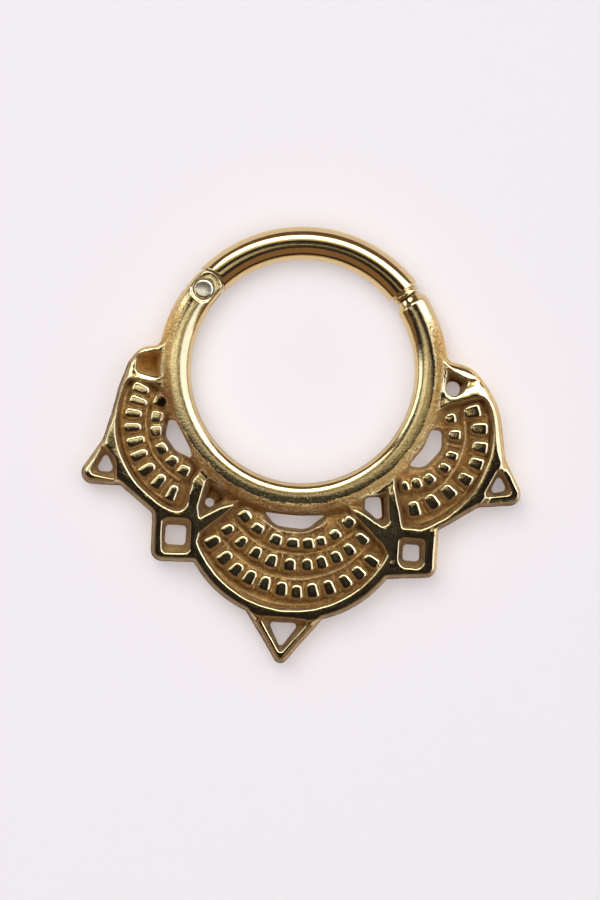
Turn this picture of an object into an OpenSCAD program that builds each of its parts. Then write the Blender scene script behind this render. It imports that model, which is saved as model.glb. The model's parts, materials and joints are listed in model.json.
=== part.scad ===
// Hinged septum ring, cast in brass, lying flat on its back.
// The ring's centre is at x = 0, y = 0, the flat back is at z = 0 and the ornament faces +Z.
// +Y points to the top of the plain arm, which is worn through the piercing.

/* [Ring] */
// Clear width inside the ring
inner_d = 8; // [6:0.5:12]
// Thickness of the round wire
wire_d = 1.2; // [1:0.05:1.6]
// Height of the round wire above the plane that the flat back rests on
wire_lift = 0.02; // [0.01:0.01:0.1]
// Width of the wire's inner half that stays round above the ornament's flat back
round_in = 0.35; // [0.2:0.05:0.5]

/* [Ornament] */
// Height of the sunken floors
floor_h = 0.8; // [0.6:0.05:0.95]
// Height of the frames
frame_h = 1.25; // [1.05:0.05:1.6]
// Height of the pads in the fans
pad_h = 1.15; // [1.05:0.05:1.4]
// Width of the bevel round each pad's top
pad_bevel = 0.05; // [0.02:0.01:0.1]
// Height of the thin ridges between the rows of pads, above the sunken floors
ridge_h = 0.15; // [0.05:0.05:0.3]
// Width of the thin ridges
ridge_w = 0.1; // [0.06:0.02:0.16]
// Height of the floors of the blind pockets
pocket_h = 0.45; // [0.2:0.05:0.55]
// Width of the step round the outside of the frames
edge_step = 0.14; // [0.06:0.02:0.2]
// Height of that step
edge_h = 1.02; // [0.97:0.01:1.04]
// How much wider each pierced gap is at the front than at the back, on every side
gap_draft = 0.12; // [0.04:0.02:0.16]
// Height of the narrow part of each pierced gap
gap_h = 0.6; // [0.3:0.05:0.7]

/* [Hinge] */
// Direction of the hinge from the ring's centre, in degrees
hinge_angle = 144; // [136:1:152]
// Diameter of the hinge pin
pin_d = 0.6; // [0.4:0.05:0.7]
// How far the hinge knuckle's radius is larger than the wire's
knuckle_over = 0.08; // [0.05:0.01:0.12]
// Thickness of the arm's tongue
tongue_t = 0.4; // [0.3:0.05:0.5]
// Width of the tongue where it joins the arm
tongue_w = 0.8; // [0.6:0.05:0.85]
// How far the tongue's round end stays inside the wire's surface
tongue_inset = 0.02; // [0.01:0.01:0.05]
// Depth of the flat lands that the pin's ends sit on
land_depth = 0.14; // [0.12:0.01:0.2]
// Diameter of those lands
land_d = 0.92; // [0.8:0.04:1]
// How far the pin's ends stand out of the lands
pin_proud = 0.06; // [0.02:0.01:0.1]
// Bevel on the pin's ends
pin_bevel = 0.04; // [0.02:0.01:0.06]

/* [Click end] */
// Direction of the end of the ring's body from its centre, in degrees
click_angle = 38.8; // [30:0.2:46]
// Distance along the wire from the body's end to the arm's full section
click_len = 0.28; // [0.22:0.02:0.4]
// Diameter of the collar at the arm's end
collar_d = 1; // [0.9:0.02:1]
// Width of the groove behind the collar
groove_w = 0.06; // [0.04:0.01:0.08]
// Diameter of the groove's floor
groove_d = 0.84; // [0.6:0.02:0.86]
// Diameter of the click cone at its foot
tip_d = 0.72; // [0.6:0.02:0.76]
// Diameter of the click cone at its end
tip_end_d = 0.16; // [0.08:0.02:0.2]
// Length of the click cone
tip_len = 0.26; // [0.16:0.02:0.28]
// Length of the bevel on the front of the body's end
bevel_len = 0.42; // [0.2:0.02:0.6]
// Depth of that bevel at the end
bevel_depth = 0.2; // [0.1:0.02:0.24]

/* [Fits] */
// Clearance of the pin in the body's cheeks, on the radius
pin_fit = 0.01; // [0.005:0.005:0.02]
// Running clearance of the tongue's bore on the pin, on the radius
pin_run = 0.03; // [0.02:0.01:0.06]
// Clearance between the knuckle and the arm's shoulder
seam_gap = 0.04; // [0.03:0.01:0.08]
// Clearance between the tongue and each cheek
cheek_gap = 0.03; // [0.02:0.01:0.06]
// Clearance between the click end and the body
click_gap = 0.04; // [0.03:0.01:0.06]

/* [Hidden] */
$fn = 96;
wire_r = wire_d / 2;
ring_r = inner_d / 2 + wire_r;
outer_r = inner_d / 2 + wire_d;
wire_z = wire_lift + wire_r;
wire_top = wire_lift + wire_d;
pin_r = pin_d / 2;
knuckle_r = wire_r + knuckle_over;
shoulder_r = knuckle_r + seam_gap;
tongue_r = sqrt(wire_r * wire_r - tongue_t * tongue_t / 4) - tongue_inset;
sink = 0.1;      // how deep a raised form is rooted in what carries it
past = 0.3;      // how far a cutter runs past the faces that it cuts
arc_step = 8;    // degrees in each straight piece of a rounded corner

// Degrees round the ring that a length along the wire takes
function along(len) = len / ring_r * 180 / PI;
collar_from = click_angle + along(click_gap);
arm_from = click_angle + along(click_len);
collar_to = arm_from - along(groove_w);

// The ornament is drawn in cells: 52 of them reach from the ring's centre to its outside.
cell = outer_r / 52;

// Points of a round stretch, as corners with no rounding
function arc(x, y, r, from, to) =
    let (n = ceil(abs(to - from) / arc_step))
    [for (k = [0:n]) let (w = from + (to - from) * k / n) [x + r * cos(w), y + r * sin(w), 0]];

// Outlines run anticlockwise. Each corner is [x, y, radius of its rounding], in cells.
outline = concat(
    [[-47, 12, 0], [-50.5, 6.2, 1], [-58.5, 5, 6], [-62.5, -0.5, 5], [-65.5, -10, 15], [-67.5, -20, 15],
     [-70, -29, 2], [-80, -45, 4], [-62.5, -45, 2], [-50.5, -54, 2], [-50, -71, 4]],
    arc(0.5, -48, 41.7, 213, 248.5),
    [[-1.5, -106.5, 2.5]],
    arc(0.5, -48, 42, 287, 325),
    [[52.3, -70.5, 4], [52.3, -53.5, 1.5], [66, -44.5, 2], [83, -42.5, 4], [74.5, -26.5, 3],
     [73, -18, 15], [71, -8, 10], [65.5, 0, 8], [60.5, 5, 4], [50.5, 7.5, 1], [47, 12, 0]]);

// Sunken floors of the three fans
fan_floors = [
    concat([[-44, -9, 0], [-62, -6.3, 1.5]], arc(-31.7, -20.6, 34, 160, 250),
           [[-38.4, -53.5, 4], [-36.6, -41, 2], [-31, -35, 0]]),
    concat([[-19, -44, 0], [-22, -50, 0], [-32.8, -60, 1.5]], arc(0.5, -48, 37.5, 204, 336),
           [[32.8, -60, 1.5], [22, -50, 0], [19, -44, 0]]),
    concat([[31, -33, 0], [34.3, -36, 0], [39.3, -53.5, 0.5]], arc(32.9, -19.2, 36.6, 290, 375),
           [[66, -4.3, 3], [52, -8.6, 0], [45, -12, 0]])];

// Blind pockets: one beside the ring at each top corner, and one between the fans on each side
pockets = [
    [[-49.5, 4.6, 1], [-59.5, 1.5, 2.5], [-59, -3.8, 2], [-50, -5.3, 1]],
    [[51.5, 4.5, 0.5], [50.8, -3.8, 1], [55, -5.5, 1.5], [58, -3.5, 1.2], [59.6, 0.3, 0.5]],
    [[-31.8, -40.5, 0.5], [-34.2, -50.5, 1], [-33.5, -55, 0.5], [-24.5, -48, 0.5], [-26, -44, 0.5]],
    [[24.8, -43.6, 0.5], [24.3, -47.4, 1], [32.6, -53.6, 1], [34.4, -52, 1], [33, -41, 1]]];

// Gaps that are cut through: crescents beside the ring, squares, triangles, and the slot
// and round holes in the floors of the pockets
gaps = [
    [[-46.8, -20, 1.2], [-47.8, -26, 4], [-43.8, -31.3, 4], [-37.2, -33.8, 0.8], [-38.5, -29.8, 4],
     [-44, -20.6, 1]],
    [[-10.5, -51, 0.4], [-6.2, -55.8, 6], [4.8, -56.6, 6], [11.8, -50.8, 0.4], [0.5, -51.8, 60]],
    [[47.3, -17.8, 1.5], [44.8, -24.5, 8], [39.8, -31.3, 0.8], [46, -31.8, 5], [51.5, -24.5, 5],
     [51.3, -17.8, 1.8]],
    [[-45.5, -57.8, 1.5], [-45.5, -65, 1.5], [-38, -65, 1.5], [-38, -57.8, 1.5]],
    [[40, -59.3, 1.5], [40, -65.3, 1.5], [46, -65.3, 1.5], [46, -59.3, 1.5]],
    [[-68.3, -32.2, 1.5], [-72.6, -40.3, 1.5], [-64.5, -40.3, 1.5]],
    [[72.5, -31.5, 1.2], [69.2, -39.5, 1.3], [76.6, -38, 1.5]],
    [[-6.5, -90.3, 1.2], [-1.6, -99.8, 1.2], [4.6, -90.3, 1.2]],
    [[25.2, -43.6, 1.5], [25.4, -47.6, 1], [29.8, -51, 1], [31.9, -50.5, 1], [30.8, -43, 1.5]]];
round_gaps = [[54.1, -2.7, 2.7], [-30.3, -49, 1.4]];    // [x, y, radius]

// Rows of pads: [centre x, centre y, radius of the row, first and last direction, pads, depth, width]
pad_rows = [
    [1.2, -36.6, 24.7, 222.5, 317.5, 8, 3.5, 4.2],
    [1, -38.5, 31.3, 220, 319.5, 10, 4.3, 3.3],
    [0.5, -44.7, 34.8, 214, 323, 12, 4.8, 3.4],
    [-31.7, -20.6, 28, 156.5, 243, 9, 6, 2.7],
    [-31.7, -20.6, 19.6, 162, 244, 6, 4, 3.6],
    [32.9, -19.2, 30.8, 289.5, 376.5, 8, 5.5, 3.4],
    [32.9, -19.2, 22.2, 289, 374.5, 7, 4, 3.6]];

// Thin ridges: [centre x, centre y, radius, first and last direction]
ridges = [
    [0.3, -40.1, 17.6, 228, 312],
    [1, -37.5, 28.2, 218, 320],
    [0.8, -41.6, 32.9, 213, 324],
    [-31.7, -20.6, 23.4, 157, 246],
    [32.9, -19.2, 26.4, 289, 375]];

function unit(v) = v / norm(v);
function before(c, i) = c[(i + len(c) - 1) % len(c)];
function after(c, i) = c[(i + 1) % len(c)];
// Unit directions of the sides before and after a corner
function side_in(c, i) = unit([c[i].x - before(c, i).x, c[i].y - before(c, i).y]);
function side_out(c, i) = unit([after(c, i).x - c[i].x, after(c, i).y - c[i].y]);

// Points of an outline with its corners rounded
function rounded(c) = [for (i = [0:len(c) - 1])
    let (u = side_in(c, i), v = side_out(c, i), turn = atan2(cross(u, v), u * v), hand = sign(turn), r = c[i][2],
         middle = [c[i].x, c[i].y] - r * tan(abs(turn) / 2) * u + hand * r * [-u.y, u.x],
         start = atan2(u.y, u.x) - hand * 90, n = max(1, ceil(abs(turn) / arc_step)))
    each r == 0 ? [[c[i].x, c[i].y]]
        : [for (k = [0:n]) middle + r * [cos(start + turn * k / n), sin(start + turn * k / n)]]];

// The same corners with every side moved inward by a distance in cells
function inset(c, d) = [for (i = [0:len(c) - 1])
    let (u = side_in(c, i), v = side_out(c, i), m = [-u.y, u.x], n = [-v.y, v.x], k = (m + n) / (1 + m * n))
    [c[i].x + d * k.x, c[i].y + d * k.y, c[i][2] == 0 ? 0 : max(0, c[i][2] - sign(cross(u, v)) * d)]];

module flat_shape(corners) polygon(cell * rounded(corners));

// A straight-sided slab of a flat shape between two heights
module slab(low, high) translate([0, 0, low]) linear_extrude(high - low) children();

// Puts things at a direction on the wire's centre line, with x pointing outward
module on_ring(angle) rotate(angle) translate([ring_r, 0, 0]) children();

// A stretch of round wire between two directions
module wire(from, to, r = wire_r)
    translate([0, 0, wire_z])
        rotate_extrude(angle = to - from, start = from)
            translate([ring_r, 0]) circle(r);

// One pad: a block of a ring round the fan's centre, with a bevel round its curved sides
module pad(x, y, r, at, depth, width) {
    a = width / r * 180 / PI;
    translate([cell * x, cell * y])
        rotate_extrude(angle = a, start = at - a / 2)
            polygon([
                [cell * (r - depth / 2), floor_h - sink],
                [cell * (r + depth / 2), floor_h - sink],
                [cell * (r + depth / 2), pad_h - pad_bevel],
                [cell * (r + depth / 2) - pad_bevel, pad_h],
                [cell * (r - depth / 2) + pad_bevel, pad_h],
                [cell * (r - depth / 2), pad_h - pad_bevel]]);
}

module pads()
    for (row = pad_rows, k = [0:row[5] - 1])
        pad(row[0], row[1], row[2], row[3] + (row[4] - row[3]) * k / (row[5] - 1), row[6], row[7]);

module thin_ridges()
    for (row = ridges)
        translate([cell * row[0], cell * row[1]])
            rotate_extrude(angle = row[4] - row[3], start = row[3])
                translate([cell * row[2] - ridge_w / 2, floor_h - sink])
                    square([ridge_w, ridge_h + sink]);

// The frames: what stands up between the sunken floors and the outside
module frames(step, top)
    slab(floor_h - sink, top)
        difference() {
            flat_shape(inset(outline, step / cell));
            circle(outer_r - sink);
            for (f = fan_floors) flat_shape(f);
        }

module plate()
    difference() {
        union() {
            slab(0, floor_h) flat_shape(outline);
            frames(0, edge_h);
            frames(edge_step, frame_h);
        }
        translate([0, 0, -past]) cylinder(h = frame_h + 2 * past, r = inner_d / 2 + round_in);
        for (p = pockets) slab(pocket_h, frame_h + past) flat_shape(p);
    }

module pierced_gaps() {
    for (g = gaps) {
        slab(-past, gap_h + sink) flat_shape(g);
        slab(gap_h, frame_h + past) flat_shape(inset(g, -gap_draft / cell));
    }
    for (g = round_gaps)
        translate([cell * g.x, cell * g.y, -past]) cylinder(h = frame_h + 2 * past, r = cell * g[2]);
}

// Everything past the hinge's centre line that isn't part of the round knuckle
module knuckle_cut()
    on_ring(hinge_angle)
        difference() {
            translate([-wire_d, -2 * wire_d, -past]) cube([2 * wire_d, 2 * wire_d, wire_top + 2 * past]);
            translate([0, 0, -2 * past]) cylinder(h = wire_top + 4 * past, r = knuckle_r);
        }

// The arm's tongue, or with a clearance the slot that it turns in
module tongue_height(gap = 0)
    slab(wire_z - tongue_t / 2 - gap, wire_z + tongue_t / 2 + gap) children();

// The click cone, pointing along the wire into the body's end
module click_cone(gap = 0)
    on_ring(collar_from) translate([0, 0, wire_z]) rotate([90, 0, 0])
        rotate_extrude()
            polygon([
                [0, -sink], [tip_d / 2 + gap, -sink], [tip_d / 2 + gap, 0],
                [tip_end_d / 2 + gap, tip_len + gap], [0, tip_len + gap]]);

// Bevel on the front of the body's end
module end_bevel()
    on_ring(click_angle) rotate([90, 0, 90])
        translate([0, 0, -wire_d])
            linear_extrude(2 * wire_d)
                polygon([
                    [-bevel_len, wire_top],
                    [bevel_len, wire_top - 2 * bevel_depth],
                    [bevel_len, wire_top + past],
                    [-bevel_len, wire_top + past]]);

// The cast body: lower ring, ornament, hinge knuckle with its slot, and the socket of the click end
module ring_body()
    color("goldenrod")
        difference() {
            union() {
                wire(hinge_angle - along(2 * knuckle_r), click_angle + 360);
                plate();
                pads();
                thin_ridges();
            }
            pierced_gaps();
            knuckle_cut();
            on_ring(hinge_angle) {
                tongue_height(cheek_gap) circle(shoulder_r + seam_gap / 2);
                translate([0, 0, -past]) cylinder(h = wire_top + 2 * past, r = pin_r + pin_fit);
                translate([0, 0, wire_top - land_depth]) cylinder(h = past, d = land_d);
                translate([0, 0, wire_lift + land_depth - past]) cylinder(h = past, d = land_d);
            }
            click_cone(click_gap);
            end_bevel();
        }

// The plain arm: round wire with a hollowed shoulder and a tongue at the hinge, and a collar
// and click cone at its free end
module clicker_arm()
    color("gold")
        difference() {
            union() {
                difference() {
                    wire(arm_from, hinge_angle - along(pin_r));
                    on_ring(hinge_angle) translate([0, 0, -past]) cylinder(h = wire_top + 2 * past, r = shoulder_r);
                }
                on_ring(hinge_angle)
                    tongue_height() {
                        circle(tongue_r);
                        translate([-tongue_w / 2, -shoulder_r - past])
                            square([tongue_w, shoulder_r + past]);
                    }
                wire(collar_to - along(sink), arm_from + along(sink), groove_d / 2);
                wire(collar_from, collar_to, collar_d / 2);
                click_cone();
            }
            on_ring(hinge_angle)
                translate([0, 0, -past]) cylinder(h = wire_top + 2 * past, r = pin_r + pin_run);
        }

// The hinge pin, riveted in the body's cheeks
module hinge_pin()
    color("khaki")
        on_ring(hinge_angle)
            rotate_extrude() {
                low = wire_lift + land_depth - pin_proud;
                high = wire_top - land_depth + pin_proud;
                polygon([
                    [0, low], [pin_r - pin_bevel, low], [pin_r, low + pin_bevel],
                    [pin_r, high - pin_bevel], [pin_r - pin_bevel, high], [0, high]]);
            }

ring_body();
clicker_arm();
hinge_pin();
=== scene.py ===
"""Finish, light and camera for the hinged septum ring, which lies on its back and faces up (+Z).

The cast body, the plain arm and the hinge pin are closed meshes that stand where their CAD solids are. The
body and the arm are fields on a grid, negative inside the metal, and are meshed where the field is zero. The
pin is turned from its side view. Lengths are in millimetres until a mesh is made. The ornament is drawn in
cells, as in the part's source: 52 cells reach from the ring's centre to its outside.
"""
import json
import math

import bpy
import numpy as np
from mathutils import Matrix, Vector
from numpy import clip, hypot, maximum, minimum


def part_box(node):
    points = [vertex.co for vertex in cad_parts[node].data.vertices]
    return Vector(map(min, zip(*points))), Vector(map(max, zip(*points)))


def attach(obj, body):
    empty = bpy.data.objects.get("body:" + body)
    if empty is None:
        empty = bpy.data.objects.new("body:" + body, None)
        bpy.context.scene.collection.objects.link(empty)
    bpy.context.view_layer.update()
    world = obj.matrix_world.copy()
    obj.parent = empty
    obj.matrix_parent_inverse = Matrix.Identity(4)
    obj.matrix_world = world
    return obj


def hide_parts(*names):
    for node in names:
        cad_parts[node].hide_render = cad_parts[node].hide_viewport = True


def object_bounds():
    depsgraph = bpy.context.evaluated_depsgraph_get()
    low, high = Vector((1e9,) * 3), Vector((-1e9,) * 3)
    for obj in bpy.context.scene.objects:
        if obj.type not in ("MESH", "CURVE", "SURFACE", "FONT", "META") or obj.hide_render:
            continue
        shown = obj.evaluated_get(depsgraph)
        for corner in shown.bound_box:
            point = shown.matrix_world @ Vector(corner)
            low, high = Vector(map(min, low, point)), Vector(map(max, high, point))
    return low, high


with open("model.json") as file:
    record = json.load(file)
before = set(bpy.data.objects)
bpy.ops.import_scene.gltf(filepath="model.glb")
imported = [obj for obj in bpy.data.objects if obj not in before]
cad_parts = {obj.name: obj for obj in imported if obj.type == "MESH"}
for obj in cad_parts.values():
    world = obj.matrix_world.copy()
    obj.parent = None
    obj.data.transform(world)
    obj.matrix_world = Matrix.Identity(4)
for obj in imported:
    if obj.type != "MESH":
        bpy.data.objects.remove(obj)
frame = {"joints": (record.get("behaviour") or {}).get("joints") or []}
cad_low, cad_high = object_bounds()

# Sizes taken from the frame
MM = 0.001
hinge = np.array(frame["joints"][0]["pos_m"]) / MM
ring_r = math.hypot(hinge[0], hinge[1])
wire_z = hinge[2]
wire_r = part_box("clicker_arm")[1].y / MM - ring_r
hinge_angle = math.degrees(math.atan2(hinge[1], hinge[0]))
pin_low, pin_high = (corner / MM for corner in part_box("hinge_pin"))
pin_r = (pin_high.x - pin_low.x) / 2
outer_r = ring_r + wire_r
CELL = outer_r / 52

# Heights of the ornament
floor_h = 0.8
frame_h = 1.235
pad_h = 1.13
pocket_h = 0.45  # floors of the blind pockets
gap_h = 0.5  # where the pierced gaps start to widen
edge_sink = (0.02, 0.15)  # the floors sink this far along their edges, over this width
plate_from = 4.35  # the flat back starts at this distance from the ring's centre

# Frames and pads
frame_crown = (0.09, 0.028)  # worn slope round the frames' tops: width and fall
window_drop = 0.09  # its most fall at the squares and triangles
frame_blend = 0.02  # rounding where the slopes of a frame meet
end_slope = 0.38  # steepness of the facet where a frame ends at the ring
end_blend = 0.03
bar_end_r = 5.42  # where that facet starts
ring_slope = 1.6  # steepness of a frame's last bit
ring_overlap = 0.02
ring_blend = 0.08
bevel_w = 0.085  # width of the bevel round the pads' tops
bevel_slope = (0.27, 2.4)  # its steepness at the top, and the gain per millimetre
wall_slope = 4.0  # steepness of the walls of pads and frames
pad_taper = 0.22  # how much wider a pad's outer end is than its inner end
pad_corners = (0.18, 0.15)  # radius of its corners at the inner and the outer end
pad_uneven = 0.015  # pads differ by this much in size and height,
pad_turn = 0.06  # and in direction by this much, in radians
facet_slope = 0.4  # steepness of the facet at a pad's inner end
facet_inset = 0.03

# Rounded rim round the outside of the frames
rim_w = 0.2
rim_h = 0.4
slim_rim = 0.12  # how much wider it is at the triangles and upper pockets,
side_rim = 0.22  # on the outer sides of the two upper fans,
side_from = (2.6, 3.1)  # from this far below the ring's centre, left and right,
side_climb = 0.8  # to this much higher,
corner_rim = 0.4  # and at the right fan's upper corner
CORNER = (60, -1)  # that corner, in cells
corner_reach = 0.9
narrow_rim = 0.07  # how much narrower it is over the left pocket and under the right triangle
LEFT_POCKET_X = -4.3  # the upper left pocket and its frame lie left of this
RIGHT_TIP_X = 6.6  # the right triangle's tip lies right of this

# Hinge
knuckle_r = 0.68  # round end of the body
knuckle_round = 0.1  # rounding of its edge
shoulder_r = 0.72  # hollow end of the arm round it
shoulder_round = 0.06
slot_gap = 0.02  # how much further than the shoulder the slot is cut
slot_half = 0.23  # half the height of the slot
tongue_half = 0.2  # half the thickness of the arm's tongue
tongue_r = 0.546  # its round end
tongue_neck = 0.4  # half the width of its neck
neck_reach = 0.2  # how far the neck runs on into the arm
land_r = 0.44  # flat land round the pin's ends
land_depth = 0.14
land_past = 0.1  # how far past the knuckle it is cleared
land_round = 0.04
head_r = pin_r + 0.04  # the pin's round end
head_groove = (0.035, 0.05)  # width and depth of the groove round it
pin_fit = 0.012  # clearance round the pin in the body
pin_run = 0.03  # and in the arm

# Click end
click_angle = 38.8
collar_gap = 0.04  # gap between the body's end and the arm's collar
collar_r = 0.5
collar_round = 0.08
groove_from = 0.22  # the collar ends here and a groove starts
groove_r = 0.42
core_ends = (0.04, 0.1)  # its core starts this far behind the collar's face and enters the arm this far
arm_full_from = 0.28  # where the arm's full wire starts
arm_round = 0.05
cone_foot_r = 0.36
cone_taper = 1.077
cone_len = 0.26
cone_root = 0.05  # how far the cone reaches back into the collar
socket_gap = 0.04  # clearance of the cone's socket
bevel_len = 0.3  # the bevelled end of the body
bevel_depth = 0.17
bevel_hollow = 0.02
bevel_round = 0.03
bevel_scale = 0.9  # its field grows at this rate

# Ring and ornament together
ring_fillet = (0.1, 0.22)  # fillet between them at the back and at the front
front_from = 0.3  # height where the front fillet starts
foot = (0.05, 0.06)  # rounding at the plate's foot: width and height
back_power = 2.3  # flatness of the wire's back: 2 is round

# Outlines run anticlockwise. Each corner is [x, y, radius of its rounding], in cells.
ARC_STEP = 3


def arc(x, y, r, start, end):
    """Points of a round stretch, as corners with no rounding."""
    n = math.ceil(abs(end - start) / ARC_STEP)
    turns = [math.radians(start + (end - start) * k / n) for k in range(n + 1)]
    return [[x + r * math.cos(w), y + r * math.sin(w), 0] for w in turns]


OUTLINE = (
    [[-47, 12, 0], [-50.5, 6.2, 1], [-58.5, 5, 6], [-62.5, -0.5, 5], [-65.5, -10, 15], [-67.5, -20, 15],
     [-70, -29, 2], [-80, -45, 4], [-62.5, -45, 2], [-50.5, -54, 2], [-50, -71, 4]]
    + arc(0.5, -48, 41.7, 213, 248.5) + [[-1.5, -106.5, 2.5]] + arc(0.5, -48, 42, 287, 325)
    + [[52.3, -70.5, 4], [52.3, -53.5, 1.5], [66, -44.5, 2], [83, -42.5, 4], [74.5, -26.5, 3],
       [73, -18, 15], [71, -8, 24], [65.5, 0, 24], [60.5, 5, 8], [50.5, 7.5, 1], [47, 12, 0]])

FAN_FLOORS = [
    [[-44, -9, 0], [-62, -6.3, 1.5]] + arc(-31.7, -20.6, 34, 160, 250)
    + [[-38.4, -53.5, 4], [-36.6, -41, 2], [-31, -35, 0]],
    [[-19, -44, 0], [-22, -50, 0], [-32.8, -60, 1.5]] + arc(0.5, -48, 37.5, 204, 336)
    + [[32.8, -60, 1.5], [22, -50, 0], [19, -44, 0]],
    [[31, -33, 0], [34.3, -36, 0], [39.3, -53.5, 0.5]] + arc(32.9, -19.2, 36.6, 290, 375)
    + [[66, -4.3, 3], [52, -8.6, 0], [45, -12, 0]]]

# Places between the fans where no frame stands
LOW_PLACES = [
    [[-31.6, -39.2, 0.5], [-34, -50.2, 1], [-33.6, -54.8, 0.8], [-26, -50.4, 1], [-20.6, -48.6, 1],
     [-16.5, -48.6, 0.5], [-20, -43, 0]],
    [[33.6, -40.5, 0.5], [22, -43, 0], [17, -48, 0.5], [22.6, -48.2, 1], [26.1, -50, 1], [32.4, -53.8, 1],
     [34.6, -51.5, 1]]]

POCKETS = [
    [[-49.5, 5, 1], [-59.9, 2, 2.5], [-59.6, -4.1, 2], [-50, -6, 1]],
    [[51.5, 4.5, 0.5], [50.8, -3.8, 1], [55, -5.5, 1.5], [58, -3.5, 1.2], [59.6, 0.3, 0.5]],
    [[-31.8, -40.5, 0.5], [-34.2, -50.5, 1], [-33.5, -55, 0.5], [-24.5, -48, 0.5], [-26, -44, 0.5]],
    [[24.8, -43.6, 0.5], [24.3, -47.4, 1], [32.6, -53.6, 1], [34.4, -52, 1], [33, -41, 1]]]

# Gaps cut through: the narrow opening at the back, then the wider one at the front or how much wider it is
GAPS = [
    ([[-46.8, -20, 1.2], [-47.8, -26, 4], [-43.8, -31.3, 4], [-37.2, -33.8, 0.8], [-38.5, -29.8, 4],
      [-44, -20.6, 1]], 1.3),
    ([[-10.5, -51, 0.4], [-6.2, -55.8, 6], [4.8, -56.6, 6], [11.8, -50.8, 0.4], [0.5, -51.8, 60]], 1.2),
    ([[47.3, -17.8, 1.5], [44.8, -24.5, 8], [39.8, -31.3, 0.8], [46, -31.8, 5], [51.5, -24.5, 5],
      [51.3, -17.8, 1.8]], 1.3),
    ([[-45.5, -57.8, 1.5], [-45.5, -65, 1.5], [-38, -65, 1.5], [-38, -57.8, 1.5]],
     [[-46.6, -55.4, 2], [-46, -67.8, 1.5], [-35.9, -67.4, 2], [-36.4, -55.4, 2]]),
    ([[40, -59.3, 1.5], [40, -65.3, 1.5], [46, -65.3, 1.5], [46, -59.3, 1.5]],
     [[38.5, -57.2, 1.5], [38.6, -67.6, 3], [47.6, -67.6, 3], [47.7, -57.2, 1.5]]),
    ([[-68.5, -33, 1.2], [-72, -40.3, 1.5], [-64.9, -40.3, 1.5]],
     [[-69.3, -30.6, 1], [-74, -41, 1.5], [-63.8, -43, 1], [-64.4, -36, 3]]),
    ([[72.6, -32, 1.2], [69.4, -39.4, 1.3], [76.2, -37.9, 1.5]],
     [[72.6, -29.6, 1], [67.4, -40.6, 1], [77.9, -39, 1.5]]),
    ([[-6.5, -90.3, 1.2], [-1.6, -99.8, 1.2], [4.6, -90.3, 1.2]],
     [[-9.6, -88.4, 1], [-1.5, -101.2, 1.2], [8.6, -88.6, 1]]),
    ([[25.2, -43.6, 1.5], [25.4, -47.6, 1], [29.8, -51, 1], [31.9, -50.5, 1], [30.8, -43, 1.5]], 1.2)]
FRAMED = (3, 4, 5, 6, 7)  # the gaps with a raised frame all round
TRIANGLES = (5, 6, 7)
ROUND_GAPS = [[54.1, -2.7, 2.7], [-30.3, -49, 1.6]]

# Rows of pads: centre x and y, depth and width of a pad, width of the facet at its inner end, then the middle
# of each pad and its own width where that differs
PADS = [
    (1.2, -36.6, 5, 4.7, 1.1, [
        (-17, -53), (-12.2, -57), (-5.5, -60.4), (0.6, -61.2), (6, -61.1, 4), (10.6, -59.9, 3.9),
        (15.2, -57.4, 4.2), (19.8, -52.6)]),
    (1, -38.5, 5.3, 4.1, 0, [
        (-22.9, -58.2), (-17.8, -62.2), (-12.4, -65.8), (-6.7, -68.2), (0.1, -69.3), (6.1, -68.9),
        (11.3, -67.7), (16.3, -65.6), (20.8, -62.6), (25.1, -58.4)]),
    (0.5, -44.7, 5.9, 4.2, 0, [
        (-28.1, -63), (-23.4, -68.3), (-19, -72.2), (-14, -74.7), (-8.5, -76.5), (-2.4, -78.1),
        (3.1, -78.8), (8.6, -78), (14.5, -76.5), (20, -73.9), (24.6, -70.7), (28.9, -66.2)]),
    (-31.7, -20.6, 6.6, 3.8, 0, [
        (-57.2, -10.2), (-57.8, -14.5), (-59.3, -19), (-59.3, -24), (-57.8, -28.9), (-56.3, -33.7),
        (-53.2, -38.7), (-48.7, -42.7), (-43.7, -46.5)]),
    (-31.7, -20.6, 4.9, 4.4, 0.9, [
        (-50.2, -14.2), (-50.8, -19.7), (-50.5, -24.7), (-48.2, -30.7), (-44.2, -34.9), (-40, -38)]),
    (32.9, -19.2, 6, 4.7, 0, [
        (61.5, -10.5), (64.4, -16.5), (65, -23), (64, -29), (60.5, -34.7), (55, -39.7), (49.2, -43.5),
        (43, -46.5)]),
    (32.9, -19.2, 4.6, 4, 0.6, [
        (53.8, -13.5), (55.7, -19.2), (55.3, -26.7), (52.7, -31.2), (47.6, -35.4), (43.2, -37.2, 3.6),
        (39.3, -38.4, 3)])]

# Thin ridges: centre x and y, radius, first and last direction in degrees, height
RIDGES = [
    (0.3, -40.1, 17.6, 226, 314, 0.24),
    (1, -37.5, 28.1, 216, 322, 0.19),
    (0.8, -41.6, 32.7, 210, 327, 0.18),
    (0.5, -46.2, 37.6, 208, 332, 0.14),
    (-31.7, -20.6, 23.2, 155, 248, 0.2),
    (-31.7, -20.6, 31.8, 158, 250, 0.16),
    (32.9, -19.2, 26.6, 287, 377, 0.2),
    (32.9, -19.2, 34.6, 290, 375, 0.15)]
ridge_half = 0.045
ridge_fade = 3  # a ridge fades out over this many degrees at its ends
divider_h = 0.17  # the thin walls between the pads of a row
divider_half = 0.032

# The triangles stand a step lower than the fans' rims: fan's centre, radius where the step starts and middle
# of the triangle
STEPS_DOWN = [
    (0.5, -48, 41.2, -1, -95),
    (-31.7, -20.6, 38.2, -70, -39),
    (32.9, -19.2, 41, 74, -37)]
step_down = 0.14
step_long = 0.2  # width over which it falls
step_reach = 1.9  # it ends this far from the triangle's middle
bar_slope = 0.37  # slope of the bars beside the two upper pockets
bar_fall_w = (0.4, 0.3)  # width of that slope on the left and on the right

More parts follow.
